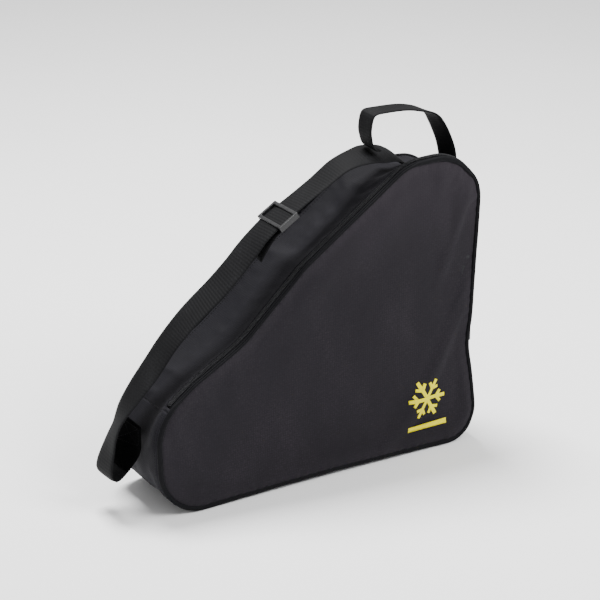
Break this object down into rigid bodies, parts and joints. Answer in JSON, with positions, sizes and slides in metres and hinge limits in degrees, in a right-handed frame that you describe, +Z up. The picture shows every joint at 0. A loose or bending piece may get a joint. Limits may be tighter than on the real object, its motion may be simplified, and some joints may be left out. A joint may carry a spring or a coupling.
{
  "type": "skate bag",
  "caption": "Wedge-shaped zipped carry bag for ice skates, with a top handle and an adjustable shoulder strap.",
  "frame": {"origin": "middle of the flat base, on the floor", "axes": "+X from the toe to the heel, front panel at -Y, +Z up"},
  "size_m": [0.4423, 0.107, 0.388],
  "materials": {
    "panel_cloth": "charcoal nylon melange, matt",
    "gusset_cloth": "black woven nylon",
    "piping_cloth": "black piping",
    "binding_tape": "black grosgrain tape",
    "webbing": "black polypropylene webbing",
    "zip_tape": "black knitted zip tape",
    "zip_coil": "black nylon coil",
    "zip_metal": "black enamelled zinc",
    "buckle_plastic": "black acetal",
    "emblem_ink": "yellow printed ink"
  },
  "bodies": {
    "root": {"back_panel": "panel_cloth", "back_piping": "piping_cloth", "back_binding": "binding_tape", "front_panel_lower": "panel_cloth", "front_piping_lower": "piping_cloth", "front_binding_lower": "binding_tape", "base_gusset": "gusset_cloth", "upper_gusset": "gusset_cloth", "zip_tape_gusset": "zip_tape", "zip_coil_gusset": "zip_coil", "zip_stops": "zip_metal", "strap_end_top": "webbing", "strap_end_toe": "webbing", "handle_foot_front": "webbing", "handle_foot_rear": "webbing", "emblem_print": "emblem_ink"},
    "flap": {"front_panel_upper": "panel_cloth", "front_piping_upper": "piping_cloth", "front_binding_upper": "binding_tape", "zip_tape_flap": "zip_tape", "zip_coil_flap": "zip_coil"},
    "zip_slider": {"zip_slider": "zip_metal"},
    "zip_pull": {"zip_pull": "zip_metal"},
    "shoulder_strap": {"shoulder_strap": "webbing", "strap_tail": "webbing"},
    "tri_glide": {"tri_glide": "buckle_plastic"},
    "carry_handle": {"carry_handle": "webbing"}
  },
  "joints": [
    {"name": "flap_fold", "type": "hinge", "parent": "root", "child": "flap", "pos_m": [0, -0.04934, 0.119], "axis": [1, 0, 0], "range_deg": [0, 120]},
    {"name": "zip_travel", "type": "slide", "parent": "root", "child": "zip_slider", "axis": [0.077, 0.0348, 0.9964], "range_m": [0, 0.13]},
    {"name": "pull_swing", "type": "hinge", "parent": "zip_slider", "child": "zip_pull", "pos_m": [0.19731, -0.03965, 0.13872], "axis": [0, -1, 0], "range_deg": [0, 150]},
    {"name": "strap_swing", "type": "hinge", "parent": "root", "child": "shoulder_strap", "pos_m": [-0.071, 0, 0.1978], "axis": [0.7101, 0, 0.7041], "range_deg": [-25, 25]},
    {"name": "glide_travel", "type": "slide", "parent": "shoulder_strap", "child": "tri_glide", "axis": [-0.8499, 0, -0.5269], "range_m": [-0.055, 0.003]},
    {"name": "handle_lean", "type": "hinge", "parent": "root", "child": "carry_handle", "pos_m": [0.138, 0, 0.33515], "axis": [0.9497, 0, -0.3132], "range_deg": [-40, 40]}
  ]
}
